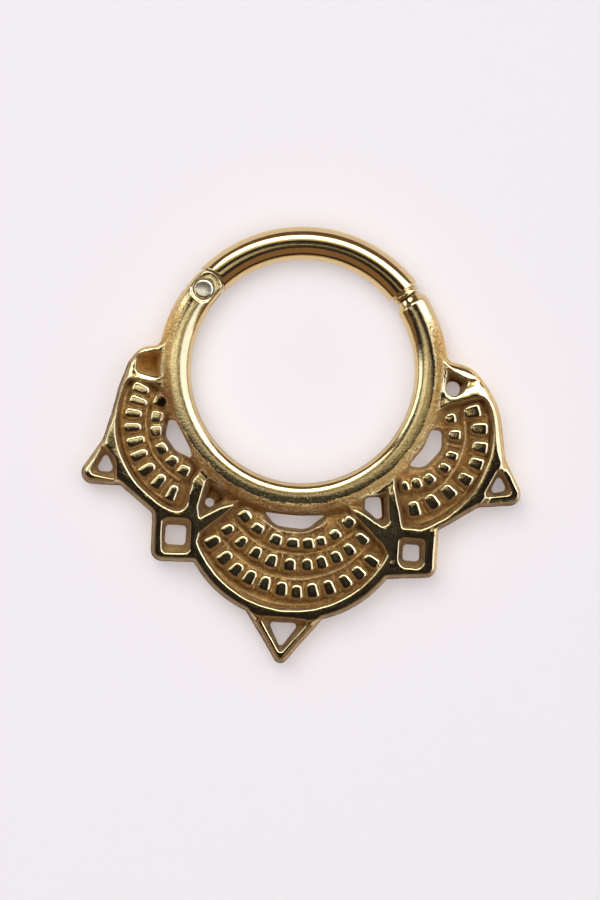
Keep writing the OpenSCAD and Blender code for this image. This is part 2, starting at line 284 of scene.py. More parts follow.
# Small cast beads on the frames: x, y, radius, height
BEADS = [(50.5, -54.4, 1.3, 0.03), (36.4, -66.6, 1.0, 0.02)]

# Random unevenness, as sets of waves: height, length and seed of each
WOBBLE = [(0.016, 0.55, 1), (0.008, 0.22, 2)]  # sideways, of all outlines
GRAIN = [(0.012, 0.1, 3), (0.012, 0.17, 4)]  # of the floors
RIPPLE = [(0.0035, 0.33, 5), (0.0015, 0.14, 6)]  # of the polished tops
POLISH_EDGE = [(0.05, 0.7, 8)]  # of the ring's polish towards its flank
outline_wobble = 0.6  # the outside has this share of the wobble,
gap_wobble = 0.5  # the pierced gaps this,
row_wobble = 0.8  # and pads and ridges this


def rounded(corners):
    """Points of an outline with its corners rounded, in millimetres."""
    points = []
    count = len(corners)
    for i, (x, y, r) in enumerate(corners):
        here = np.array([x, y])
        before = here - np.array(corners[i - 1][:2])
        after = np.array(corners[(i + 1) % count][:2]) - here
        u, v = before / hypot(*before), after / hypot(*after)
        turn = math.atan2(u[0] * v[1] - u[1] * v[0], float(u @ v))
        if r == 0:
            points.append(here)
            continue
        hand = math.copysign(1, turn)
        middle = here - r * math.tan(abs(turn) / 2) * u + hand * r * np.array([-u[1], u[0]])
        start = math.atan2(u[1], u[0]) - hand * math.pi / 2
        n = max(1, math.ceil(math.degrees(abs(turn)) / ARC_STEP))
        points += [middle + r * np.array([math.cos(start + turn * k / n), math.sin(start + turn * k / n)])
                   for k in range(n + 1)]
    return CELL * np.array(points)


# Flat maps: one value for each place on a grid seen from the front
STEP = 0.03
MARGIN = 0.3
map_low = np.array([cad_low.x, cad_low.y]) / MM - MARGIN
map_high = np.array([cad_high.x, cad_high.y]) / MM + MARGIN
map_n = np.ceil((map_high - map_low) / STEP).astype(int) + 1
X, Y = np.meshgrid(map_low[0] + STEP * np.arange(map_n[0]), map_low[1] + STEP * np.arange(map_n[1]),
                   indexing="ij")
X, Y = X.astype(np.float32), Y.astype(np.float32)
R = hypot(X, Y)
FAR = 9.0
OUTLINE_REACH = 2.0  # distances to the outside are known this far out


def fade(value, start, full):
    """0 up to start, 1 from full on, an even climb between them. Full may be the lower one."""
    return clip((value - start) / (full - start), 0, 1)


def away_from(x, y):
    """Map of the distance from a place given in cells."""
    return hypot(X - CELL * x, Y - CELL * y)


def window(low, high):
    """The part of the maps between two corners."""
    a = clip(np.floor((np.array(low) - map_low) / STEP).astype(int), 0, map_n - 1)
    b = clip(np.ceil((np.array(high) - map_low) / STEP).astype(int) + 1, 1, map_n)
    return slice(a[0], b[0]), slice(a[1], b[1])


def inside_distance(points, reach=0.7):
    """Map of the distance to a closed outline, positive inside and minus FAR beyond its reach."""
    field = np.full(X.shape, -FAR, np.float32)
    at = window(points.min(0) - reach, points.max(0) + reach)
    x, y = X[at], Y[at]
    nearest = np.full(x.shape, FAR, np.float32)
    inside = np.zeros(x.shape, bool)
    for (ax, ay), (bx, by) in zip(points, np.roll(points, -1, 0)):
        dx, dy = bx - ax, by - ay
        t = clip(((x - ax) * dx + (y - ay) * dy) / max(dx * dx + dy * dy, 1e-12), 0, 1)
        nearest = minimum(nearest, (x - ax - t * dx) ** 2 + (y - ay - t * dy) ** 2)
        if dy != 0:
            inside ^= ((y >= ay) != (y >= by)) & (x < ax + (y - ay) * dx / dy)
    nearest = np.sqrt(nearest)
    field[at] = np.where(inside, nearest, -nearest)
    return field


def higher(a, b, blend):
    """The higher of two maps, with a fillet where they cross."""
    h = maximum(blend - np.abs(a - b), 0) / blend
    return maximum(a, b) + h * h * blend / 4


def lower(a, b, blend):
    """The lower of two maps, with a fillet where they cross."""
    return -higher(-a, -b, blend)


def smooth(m, width):
    """A map blurred by a bell of this width in millimetres."""
    half = max(1, int(2.5 * width / STEP))
    bell = np.exp(-0.5 * (np.arange(-half, half + 1) * STEP / width) ** 2).astype(np.float32)
    bell /= bell.sum()
    for axis in (0, 1):
        padded = np.pad(m, [(half, half) if a == axis else (0, 0) for a in (0, 1)], mode="edge")
        size = m.shape[axis]
        m = sum(w * np.take(padded, range(k, k + size), axis) for k, w in enumerate(bell))
    return m


def unevenness(wave, seed):
    """Map of gentle random waves of about this length in millimetres, between -1 and 1."""
    draw = np.random.default_rng(seed)
    n = np.ceil((map_high - map_low) / wave).astype(int) + 3
    lattice = draw.uniform(-1, 1, n).astype(np.float32)
    u, v = (X - map_low[0]) / wave, (Y - map_low[1]) / wave
    i, j = u.astype(int), v.astype(int)
    s, t = u - i, v - j
    s, t = s * s * (3 - 2 * s), t * t * (3 - 2 * t)
    return ((lattice[i, j] * (1 - s) + lattice[i + 1, j] * s) * (1 - t)
            + (lattice[i, j + 1] * (1 - s) + lattice[i + 1, j + 1] * s) * t)


def waves(rows):
    """Map of several sets of random waves together."""
    return sum(high * unevenness(long, seed) for high, long, seed in rows)


def most_inside(outlines):
    """Map of the distance inside the nearest of several outlines."""
    return maximum.reduce([inside_distance(rounded(corners)) for corners in outlines])


def worn_top(distance, top, crown):
    """Height of a raised form at a distance inside its edge: flat top, worn slope round it, steep wall."""
    width, drop = crown
    worn = clip(1 - distance / width, 0, 1)
    return top - drop * worn ** 2 + wall_slope * minimum(distance, 0)


def bevelled_top(distance, top):
    """Height of a pad at a distance inside its edge: a flat top, a bevel round it, a steep wall."""
    into = clip(bevel_w - distance, 0, bevel_w)
    return top - (bevel_slope[0] + bevel_slope[1] * into / 2) * into + wall_slope * minimum(distance, 0)


def rounded_box(x, y, half_x, half_y, r_low, r_high):
    """Distance inside a rectangle, positive inside, with its own corner radius at each end along x."""
    r = np.where(x < 0, r_low, r_high)
    qx, qy = np.abs(x) - half_x + r, np.abs(y) - half_y + r
    return r - hypot(maximum(qx, 0), maximum(qy, 0)) - minimum(maximum(qx, qy), 0)


wobble = waves(WOBBLE)
outline_in = inside_distance(rounded(OUTLINE), OUTLINE_REACH) + outline_wobble * wobble
floor_in = most_inside(FAN_FLOORS + LOW_PLACES) + wobble
pocket_in = most_inside(POCKETS) + wobble
upper_pocket_in = most_inside(POCKETS[:2])


def gap_maps():
    """For each gap: distance inside its narrow opening and inside its wide opening."""
    for narrow, wide in GAPS:
        inner = inside_distance(rounded(narrow)) + gap_wobble * wobble
        if isinstance(wide, list):
            outer = inside_distance(rounded(wide)) + gap_wobble * wobble
        else:
            outer = inner + CELL * wide
        yield inner, outer


gaps = list(gap_maps())


def lowered_map():
    """How much lower the frames stand at the triangles and beside the two upper pockets."""
    steps = np.zeros(X.shape, np.float32)
    for cx, cy, r, tx, ty in STEPS_DOWN:
        past_rim = clip((away_from(cx, cy) - CELL * r) / step_long, 0, 1)
        near_triangle = away_from(tx, ty) < step_reach
        steps = np.where(near_triangle, step_down * past_rim, steps)
    left_w, right_w = bar_fall_w
    over_pocket = fade(Y, 0, 0.2) * clip(-upper_pocket_in, 0, left_w)
    under_pocket = fade(Y, -0.05, -0.55) * fade(Y, -1.15, -0.95) * clip(-floor_in, 0, left_w)
    left_bars = (over_pocket + under_pocket) * (X < LEFT_POCKET_X)
    right_bar = fade(Y, -1.4, -1.2) * clip(-floor_in - 0.08, 0, right_w) * fade(X, 6.4, 6)
    return steps + bar_slope * np.where(X < 0, left_bars, right_bar * (Y < 0.1))


lowered = lowered_map()


def rim_width():
    """Width of the rounded rim round the outside of the frames."""
    slim_in = maximum.reduce([gaps[k][1] for k in TRIANGLES] + [upper_pocket_in])
    left_from, right_from = side_from
    upper = clip((Y + np.where(X > 0, right_from, left_from)) / side_climb, 0, 1)
    wider = maximum(slim_rim * fade(slim_in, -0.6, -0.1), side_rim * upper)
    wider = wider + corner_rim * clip(1.2 - away_from(*CORNER) / corner_reach, 0, 1)
    over_pocket = fade(Y, 0, 0.2) * (X < LEFT_POCKET_X)
    under_triangle = fade(Y, -2.9, -3.2) * (X > RIGHT_TIP_X)
    wider = wider - (wider + narrow_rim) * maximum(over_pocket, under_triangle)
    return rim_w + wider


def frames_map():
    """Height of the frames, as if nothing stood inside them."""
    rim = clip(1 - outline_in / rim_width(), 0, 1)
    outside = frame_h - rim_h * (1 - np.sqrt(maximum(1 - rim ** 2, 0)))
    top = lower(outside, worn_top(-floor_in, frame_h, frame_crown), frame_blend)
    top = lower(top, worn_top(-pocket_in, frame_h, frame_crown), frame_blend)
    for k in FRAMED:
        at_window = worn_top(-gaps[k][1], frame_h, frame_crown)
        top = lower(top, maximum(at_window, frame_h - window_drop), frame_blend)
    bar_end = frame_h + end_slope * minimum(R - bar_end_r, 0)
    ring_end = frame_h + ring_slope * minimum(R - outer_r + ring_overlap, 0)
    return lower(lower(top - lowered, bar_end, end_blend), ring_end, ring_blend)


def turned_patch(middle, centre, reach, turn=0.0):
    """A patch of the maps, with coordinates in the direction away from a centre, and across it."""
    out = math.atan2(middle[1] - centre[1], middle[0] - centre[0]) + turn
    at = window(middle - reach, middle + reach)
    x, y = X[at] - middle[0], Y[at] - middle[1]
    return at, x * math.cos(out) + y * math.sin(out), y * math.cos(out) - x * math.sin(out)


def pads_map():
    """Height of the pads."""
    top = np.full(X.shape, -FAR, np.float32)
    draw = np.random.default_rng(7)
    for cx, cy, depth, width, facet, middles in PADS:
        for px, py, *own in middles:
            wide = own[0] if own else width
            grow = draw.uniform(-pad_uneven, pad_uneven, 2)
            lift = draw.uniform(-pad_uneven, pad_uneven)
            turn = draw.uniform(-pad_turn, pad_turn)
            centre, middle = CELL * np.array([[cx, cy], [px, py]])
            at, u, v = turned_patch(middle, centre, 0.6, turn)
            taper = 1 + pad_taper * u / (CELL * depth)
            half = CELL * depth / 2 + grow[0]
            d = rounded_box(u, v / taper, half, CELL * wide / 2 + grow[1], *pad_corners)
            fall = facet_slope * minimum(u + half - CELL * facet - facet_inset, 0)
            top[at] = maximum(top[at], bevelled_top(d + row_wobble * wobble[at], pad_h + lift) + fall)
    return top


def ridges_map():
    """Height of the thin ridges between the rows of pads and the thin walls between the pads."""
    rise = np.zeros(X.shape, np.float32)
    for cx, cy, r, start, end, high in RIDGES:
        x, y = X - CELL * cx, Y - CELL * cy
        across = (hypot(x, y) - CELL * r + row_wobble * wobble) / ridge_half
        turn = np.degrees(np.arctan2(y, x)) % 360
        turn = np.where(turn < start - 90, turn + 360, turn)
        ends = clip(minimum(turn - start, end - turn) / ridge_fade, 0, 1)
        rise = maximum(rise, high * np.exp(-0.5 * across ** 2) * ends)
    for cx, cy, depth, width, facet, middles in PADS:
        for (ax, ay, *_), (bx, by, *_) in zip(middles, middles[1:]):
            middle = CELL * np.array([ax + bx, ay + by]) / 2
            at, u, v = turned_patch(middle, (CELL * cx, CELL * cy), 0.5)
            wall = divider_h * np.exp(-0.5 * (v / divider_half) ** 2)
            wall = wall * fade(np.abs(u) / (CELL * depth / 2), 1.3, 1)
            rise[at] = maximum(rise[at], wall)
    return rise


grain = waves(GRAIN)
ripple = waves(RIPPLE)


def ornament_height():
    """Height of the ornament's front."""
    sink, sink_w = edge_sink
    ground = floor_h + ridges_map() + grain - sink * clip(1 - np.abs(floor_in) / sink_w, 0, 1)
    ground = ground + (pocket_h + grain - ground) * fade(pocket_in, 0, 0.1)
    front = higher(ground, pads_map() + ripple, 0.05)
    front = higher(front, frames_map() + ripple, 0.06)
    for x, y, r, high in BEADS:
        away = away_from(x, y) / (CELL * r)
        front = front + high * maximum(1 - away ** 2, 0) ** 0.5
    for inner, outer in gaps:
        climb = clip(-inner / maximum(outer - inner, 1e-4), 0, 1)
        front = np.where(outer > 0, gap_h + (front - gap_h) * climb, front)
    return smooth(front, 0.018)


height = ornament_height()
slope_x, slope_y = np.gradient(height, STEP)
steep = np.sqrt(1 + slope_x ** 2 + slope_y ** 2)

# Finish, age and painted shade, by place and height in millimetres. The ring is sandy from here outwards on
# its flank.
flank_from = 4.76 - 0.1 * fade(np.abs(X), 0.5, 2.5) * fade(Y, 0, -0.5)
in_sandy_pocket = fade(upper_pocket_in, -0.1, 0) * (X < 0)
sunk = smooth(np.where(outline_in > 0, height, height.mean()), 0.14) - height


def polished_places():
    """Where the front is polished: tall parts of the ornament, and the ring up to its flank."""
    tall = fade(height + lowered, 0.97, 1.09)
    in_ring = fade(R - flank_from - waves(POLISH_EDGE), 0.15, -0.15)
    return maximum(tall, in_ring)


def dirt_and_shade_places():
    """Where the metal is darkened: dirt and painted shade in hollows, and painted shade on the ring's flank,
    more so on the left, away from the light, but on no frame.
    """
    hollows = fade(sunk, 0, 0.16) * (1 - in_sandy_pocket)
    flank = (0.1 + 0.8 * fade(X, 2.8, 1.3)) * fade(R - flank_from, 0, 0.1)
    flank = flank * fade(R, 5.4, 5.25) * fade(Y, 0.5, -1)
    on_frame = fade(floor_in, 0, -0.03) * fade(pocket_in, 0, -0.03) * fade(R, 5.12, 5.17)
    return maximum(hollows, flank * (1 - on_frame))


def wall_and_rim_shade():
    """How much painted shade darkens the walls, and the rims. Outer sides that face the upper right, towards
    the light, stay bright. The ring's inner wall is shaded more towards the bottom.
    """
    edge_x, edge_y = np.gradient(outline_in, STEP)
    to_upper_right = -(0.6 * edge_x + 0.8 * edge_y) / maximum(hypot(edge_x, edge_y), 0.1)
    shaded_side = fade(to_upper_right, 0.5, -1 / 3) * (R > outer_r)
    rims = 0.9 * shaded_side * fade(outline_in, 0.17, 0.09)
    walls = np.where(outline_in > 0.2, 0.95 - 0.7 * in_sandy_pocket, 0.15 + 0.6 * shaded_side)
    walls = walls * fade(R - flank_from, 0, 0.2)
    inner_walls = 0.55 * fade(Y, -0.3, -1.8)
    return np.where(R < ring_r - 0.3, inner_walls, walls), rims


polish_map = polished_places()
dirt_and_shade_map = dirt_and_shade_places()
wall_shade_map, rim_shade_map = wall_and_rim_shade()
worn_map = fade(-sunk, 0.009, 0.099)

# The cast ring is flatter on top where the ornament is, and round at its two ends
crest_power = 2.15 + 0.75 * fade(Y, 1.2, -1.8)

# Directions of the ring's two ends
click_turn, hinge_turn = math.radians(click_angle), math.radians(hinge_angle)


def past_click(x, y):
    """Distance from the end of the body at the click towards the arm."""
    return y * math.cos(click_turn) - x * math.sin(click_turn)


def past_hinge(x, y):
    """Distance from the hinge's centre line towards the arm."""
    return x * math.sin(hinge_turn) - y * math.cos(hinge_turn)


def from_hinge(x, y):
    """Distance from the pin's axis."""
    return hypot(x - hinge[0], y - hinge[1])


def wire_distance(across, up, front, back):
    """Distance outside the wire's surface. With powers over 2 its front and back are flatter than round."""
    power = np.where(up > 0, front, back)
    return (np.abs(across) ** power + np.abs(up) ** power) ** (1 / power) - wire_r


# Fields are negative inside the metal, so the higher of two is what both share and the lower joins them
both, either = higher, lower


def click_cone(x, y, z, grow):
    """The click cone's field; a larger one is its socket."""
    along = x * math.cos(click_turn) + y * math.sin(click_turn) - ring_r
    depth = collar_gap - past_click(x, y)
    cone = hypot(along, z - wire_z) - (cone_foot_r + grow - cone_taper * depth)
    return maximum(cone, maximum(depth - cone_len - grow, -depth - cone_root))


def body_field(z):
    """The cast body's field on the flat maps at one height."""
    foot_w, foot_h = foot
    undercut = foot_w * clip(1 - z / foot_h, 0, 1) ** 2
    plate = maximum((z - height) / steep, undercut - outline_in)
    plate = maximum(plate, maximum(-z, plate_from - R))
    wire = wire_distance(R - ring_r, z - wire_z, crest_power, back_power)
    arm_side = minimum(past_click(X, Y), past_hinge(X, Y))
    wire = both(wire, minimum(arm_side, from_hinge(X, Y) - knuckle_r), knuckle_round)
    field = either(plate, wire, ring_fillet[int(z > front_from)])
    for inner, outer in gaps:
        field = maximum(field, inner)
    for x, y, r in ROUND_GAPS:
        field = maximum(field, CELL * r - away_from(x, y))
    round_hinge = from_hinge(X, Y)
    field = maximum(field, minimum(slot_half - abs(z - wire_z), shoulder_r + slot_gap - round_hinge))
    field = maximum(field, pin_r + pin_fit - round_hinge)
    arm_half = minimum(past_hinge(X, Y), knuckle_r + land_past - round_hinge)
    land = minimum(abs(z - wire_z) - (wire_r - land_depth), maximum(land_r - round_hinge, arm_half))
    groove_w, groove_depth = head_groove
    groove_z = wire_r - land_depth - groove_depth
    groove = minimum(abs(z - wire_z) - groove_z, head_r + groove_w - round_hinge)
    field = both(field, land, land_round)
    field = maximum(field, groove)
    near = clip(-past_click(X, Y) / bevel_len, 0, 1)
    bevel = wire_r - bevel_depth * (1 - near) - bevel_hollow * np.sin(math.pi * near)
    off_centre = hypot(R - ring_r, max(z - wire_z, 0))
    at_click = (X * math.cos(click_turn) + Y * math.sin(click_turn) > 0) & (near < 1)
    field = np.where(at_click, both(field, (off_centre - bevel) * bevel_scale, bevel_round), field)
    return maximum(field, -click_cone(X, Y, z, socket_gap))


def arm_field(x, y, z):
    """The arm's field: round wire with a collar and click cone at one end, and a tongue at the other."""
    at = past_click(x, y)
    beyond = past_hinge(x, y)
    q = hypot(hypot(x, y) - ring_r, z - wire_z)
    round_hinge = from_hinge(x, y)
    wire = both(q - wire_r, arm_full_from - at, arm_round)
    wire = both(wire, shoulder_r - round_hinge, shoulder_round)
    wire = maximum(wire, -beyond)
    collar = both(q - collar_r, maximum(collar_gap - at, at - groove_from), collar_round)
    behind, into_arm = core_ends
    core = maximum(q - groove_r, maximum(collar_gap + behind - at, at - arm_full_from - into_arm))
    core = maximum(core, -beyond)
    tip = maximum(click_cone(x, y, z, 0), -beyond)
    across = x * math.cos(hinge_turn) + y * math.sin(hinge_turn) - ring_r
    neck = maximum(np.abs(across) - tongue_neck, maximum(-beyond, beyond - shoulder_r - neck_reach))
    tongue = maximum(minimum(round_hinge - tongue_r, neck), np.abs(z - wire_z) - tongue_half)
    field = minimum(minimum(wire, collar), minimum(core, minimum(tip, tongue)))
    return maximum(field, pin_r + pin_run - round_hinge)


FILL_ROUNDS = 8  # filling one crossing can make another beside it
FILL_DEPTH = 0.001


def fill_crossings(field):
    """Fills places where two parts of the metal meet along a line only, which no closed mesh can show."""
    whole, first, second = slice(None), slice(None, -1), slice(1, None)
    for _ in range(FILL_ROUNDS):
        found = 0
        for a, b in ((0, 1), (0, 2), (1, 2)):
            block = {}
            for i, at_a in enumerate((first, second)):
                for j, at_b in enumerate((first, second)):
                    where = [whole] * 3
                    where[a], where[b] = at_a, at_b
                    block[i, j] = field[tuple(where)]
            metal = {corner: part < 0 for corner, part in block.items()}
            rising = metal[0, 0] & metal[1, 1] & ~metal[0, 1] & ~metal[1, 0]
            falling = ~metal[0, 0] & ~metal[1, 1] & metal[0, 1] & metal[1, 0]
            found += rising.sum() + falling.sum()
            block[0, 1][rising] = -FILL_DEPTH
            block[0, 0][falling] = -FILL_DEPTH
        if found == 0:
            return


def surface_net(field, low, step):
    """Points and four-sided faces of the surface where a field on a grid is zero."""
    inside = field < 0
    corners = np.array([[i, j, k] for i in (0, 1) for j in (0, 1) for k in (0, 1)])
    n = np.array(field.shape) - 1
    count = sum(inside[i:n[0] + i, j:n[1] + j, k:n[2] + k].astype(np.int8) for i, j, k in corners)
    active = (count > 0) & (count < 8)
    cells = np.argwhere(active)
    number = np.full(active.shape, -1, np.int64)
    number[active] = np.arange(len(cells))
    values = np.stack([field[tuple((cells + c).T)] for c in corners], 1)
    total, hits = np.zeros((len(cells), 3)), np.zeros(len(cells))
    for a in range(8):
        for b in range(a + 1, 8):
            if np.abs(corners[a] - corners[b]).sum() != 1:
                continue
            crosses = (values[:, a] < 0) != (values[:, b] < 0)
            span = np.where(crosses, values[:, a] - values[:, b], 1)
            share = np.where(crosses, values[:, a] / span, 0)
            total += np.where(crosses[:, None], corners[a] + share[:, None] * (corners[b] - corners[a]), 0)
            hits += crosses
    points = cells + total / hits[:, None]
    faces = []
    for axis in range(3):
        u, v = (axis + 1) % 3, (axis + 2) % 3
        lo, hi = [slice(1, -1)] * 3, [slice(1, -1)] * 3
        lo[axis], hi[axis] = slice(0, -1), slice(1, None)
        first, second = inside[tuple(lo)], inside[tuple(hi)]
        for edges, flip in ((np.argwhere(first & ~second), False), (np.argwhere(~first & second), True)):
            edges[:, [u, v]] += 1
            ring = []
            for du, dv in ((-1, -1), (0, -1), (0, 0), (-1, 0)):
                cell = edges.copy()
                cell[:, u] += du
                cell[:, v] += dv
                ring.append(number[tuple(cell.T)])
            faces.append(np.stack(ring[::-1] if flip else ring, 1))
    return points * step + low, np.concatenate(faces)


def sample(grid, where):
    """Values of a grid between its nodes."""
    size = np.array(grid.shape)
    base = clip(np.floor(where).astype(int), 0, size - 2)
    part = clip(where - base, 0, 1)
    value = 0
    for corner in np.ndindex(*(2,) * len(size)):
        weight = np.prod(np.where(corner, part, 1 - part), axis=1)
        value = value + weight * grid[tuple((base + corner).T)]
    return value


def rise_at(field, step, where):
    """Direction in which a field on a grid rises, at points given in grid steps."""
    rise = np.empty((len(where), 3))
    for axis in range(3):
        ahead = np.zeros(3)
        ahead[axis] = 0.5
        rise[:, axis] = (sample(field, where + ahead) - sample(field, where - ahead)) / step[axis]
    return rise


SETTLE_ROUNDS = 2
SETTLE_MOST = 0.4  # a point moves by this share of a grid step at most
LEAST_STEEPNESS = 0.04


def settle(field, low, step, points):
    """Moves the points of a net onto the surface."""
    most = SETTLE_MOST * step.min()
    for _ in range(SETTLE_ROUNDS):
        where = (points - low) / step
        rise = rise_at(field, step, where)
        steepness = maximum((rise ** 2).sum(1), LEAST_STEEPNESS)
        shift = -sample(field, where)[:, None] * rise / steepness[:, None]
        points = points + clip(shift, -most, most)
    return points


def add_object(name, data):
    """A new object in the scene."""
    item = bpy.data.objects.new(name, data)
    bpy.context.scene.collection.objects.link(item)
    return item


def make_mesh(name, points, faces):
    """A new smooth object in the scene, with points in millimetres."""
    mesh = bpy.data.meshes.new(name)
    mesh.vertices.add(len(points))
    mesh.vertices.foreach_set("co", (points * MM).astype(np.float32).ravel())
    mesh.loops.add(faces.size)
    mesh.loops.foreach_set("vertex_index", faces.astype(np.int32).ravel())
    mesh.polygons.add(len(faces))
    width = faces.shape[1]
    mesh.polygons.foreach_set("loop_start", np.arange(0, faces.size, width, dtype=np.int32))
    mesh.update(calc_edges=True)
    mesh.validate()
    mesh.shade_smooth()
    return add_object(name, mesh)


def thin_out(piece, most):
    """Merges the triangles of a dense mesh where it is flat, down to a number."""
    triangles = 2 * len(piece.data.polygons)
    if triangles <= most:
        return
    merge = piece.modifiers.new("merge", "DECIMATE")
    merge.ratio = most / triangles
    done = bpy.data.meshes.new_from_object(piece.evaluated_get(bpy.context.evaluated_depsgraph_get()))
    piece.modifiers.clear()
    old, piece.data = piece.data, done
    done.name = old.name + "_fine"
    bpy.data.meshes.remove(old)


def vertex_points(mesh):
    """The points of a mesh, in millimetres."""
    co = np.empty(len(mesh.vertices) * 3)
    mesh.vertices.foreach_get("co", co)
    return co.reshape(-1, 3) / MM


def vertex_normals(mesh):
    """The directions in which a mesh faces at its points."""
    n = np.empty(len(mesh.vertices) * 3)
    mesh.vertex_normals.foreach_get("vector", n)
    return n.reshape(-1, 3)


def set_values(mesh, name, values):
    """Stores one number for each point of a mesh, for the materials to read."""
    layer = mesh.attributes.new(name, "FLOAT", "POINT")
    layer.data.foreach_set("value", np.asarray(values, np.float32))


def give_normals(mesh, field, low, step, where_smooth=None):
    """Shades a mesh, or its smooth part, by the field itself, so that wire has no facets."""
    points = vertex_points(mesh)
    normals = rise_at(field, step, (points - low) / step)
    normals /= maximum(np.linalg.norm(normals, axis=1, keepdims=True), 1e-9)
    if where_smooth:
        normals[~where_smooth(points)] = 0
    mesh.normals_split_custom_set_from_vertices(normals.astype(np.float32))


BODY_TRIANGLES = 190000

# Height of the layers of the body's grid, and how far the grids reach past the solids
LAYER = 0.05
BELOW, ABOVE = 0.12, 0.15
ARM_MARGIN = 0.1


def on_plain_wire(points):
    """Which points lie on the round wire, away from the ornament and from the ring's two ends."""
    x, y = points[:, 0], points[:, 1]
    outside = sample(outline_in, (points[:, :2] - map_low) / STEP) < -0.15
    inner_side = hypot(x, y) < ring_r + 0.05
    at_ends = (np.abs(past_click(x, y)) < 0.6) | (from_hinge(x, y) < 0.85)
    return (outside | inner_side) & ~(at_ends & (y > 0))


def store_finish_and_shade(mesh):
    """Stores how polished and worn each point of the body is, and how much dirt and painted shade darken it.
    """
    points, normals = vertex_points(mesh), vertex_normals(mesh)
    where = (points[:, :2] - map_low) / STEP
    x, y, z = points.T
    front = fade(normals[:, 2], 0.2, 0.6)
    inwards = sample(outline_in, where)
    on_ornament = inwards > -0.1
    polish = maximum(sample(polish_map, where) * front, fade(z, 0.45, 0.15))
    polish = maximum(polish, fade(y, 1.2, 2.7) * fade(inwards, 0, -0.2))
    # painted shade on walls, and on rims that face away from the light
    painted_shade = maximum(sample(wall_shade_map, where) * (1 - front), sample(rim_shade_map, where))
    set_values(mesh, "polish", np.where(hypot(x, y) < ring_r + 0.12, 1, polish))
    set_values(mesh, "worn", sample(worn_map, where) * front * on_ornament)
    # dirt and painted shade in hollows, and painted shade on the ring's flank
    set_values(mesh, "dirt_and_shade", sample(dirt_and_shade_map, where) * front * on_ornament)
    # the wall attribute holds that painted shade of walls and rims
    set_values(mesh, "wall", painted_shade * (z > 0.3) * on_ornament)


def build_body():
    """The cast body, meshed from its field in level layers."""
    step = np.array([STEP, STEP, LAYER])
    low = np.array([map_low[0], map_low[1], -BELOW])
    levels = np.arange(low[2], cad_high.z / MM + ABOVE, step[2])
    field = np.stack([body_field(z) for z in levels], 2).astype(np.float32)
    fill_crossings(field)
    points, faces = surface_net(field, low, step)
    points = settle(field, low, step, points)
    points[:, 2] = maximum(points[:, 2], 0)
    piece = make_mesh("cast_body", points, faces)
    thin_out(piece, BODY_TRIANGLES)
    store_finish_and_shade(piece.data)
    give_normals(piece.data, field, low, step, on_plain_wire)
    return piece


def build_arm():
    """The plain arm, meshed on a grid that reaches a little past its solid."""
    step = np.full(3, 0.03)
    box_low, box_high = (np.array(corner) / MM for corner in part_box("clicker_arm"))
    low = box_low - ARM_MARGIN
    axes = [np.arange(low[k], box_high[k] + ARM_MARGIN + step[k], step[k]) for k in range(3)]
    x, y, z = np.meshgrid(*axes, indexing="ij")
    field = arm_field(x, y, z)
    points, faces = surface_net(field, low, step)
    points = settle(field, low, step, points)
    piece = make_mesh("plain_arm", points, faces)
    give_normals(piece.data, field, low, step)
    return piece


# Rounded edge of the pin's head: distances from its side and from its top
HEAD_EDGE = [(0.03, 0.014), (0.008, 0.028), (0, 0.055), (0, 0.075)]
PIN_SIDES = 72


def build_pin():
    """The pin, turned from its side view."""
    low, high = pin_low.z, pin_high.z
    profile = [(0, high), (0.08, high - 0.001), (0.16, high - 0.004), (0.24, high - 0.01)]
    profile += [(head_r - inset, high - down) for inset, down in HEAD_EDGE]
    profile += [(pin_r, high - 0.085), (pin_r, low + 0.05), (pin_r - 0.04, low), (0, low)]
    turns = [2 * math.pi * k / PIN_SIDES for k in range(PIN_SIDES)]
    x, y = hinge[:2]
    points = [(x + r * math.cos(w), y + r * math.sin(w), z) for r, z in profile[1:-1] for w in turns]
    points += [(x, y, high), (x, y, low)]
    top, bottom = len(points) - 2, len(points) - 1
    last = top - PIN_SIDES
    sides = [(k, (k + 1) % PIN_SIDES) for k in range(PIN_SIDES)]
    faces = [(row + a, row + PIN_SIDES + a, row + PIN_SIDES + b, row + b)
             for row in range(0, last, PIN_SIDES) for a, b in sides]
    caps = [(top, a, b) for a, b in sides] + [(bottom, last + b, last + a) for a, b in sides]
    mesh = bpy.data.meshes.new("pin")
    mesh.from_pydata([Vector(p) * MM for p in points], [], faces + caps)
    mesh.shade_smooth()
    return add_object("pin", mesh)


# Materials
POLISHED = (0.76, 0.58, 0.29)
MATTE = (1, 0.58, 0.16)
# pale specks on the grain: painted glints
PAINTED_GLINT = (1, 0.8, 0.42)
WORN = (1, 0.78, 0.4)
# dark orange-brown: dirt, and painted shade with painted warm inter-reflection, in hollows and on the flank
DIRT_AND_SHADE = (0.2, 0.062, 0.013)
# dark brown of the painted shade on walls and rims
SHADE_BROWN = (0.125, 0.054, 0.021)


def darker(colour, share):
    """A colour with only a share of its brightness."""
    return tuple(share * c for c in colour)


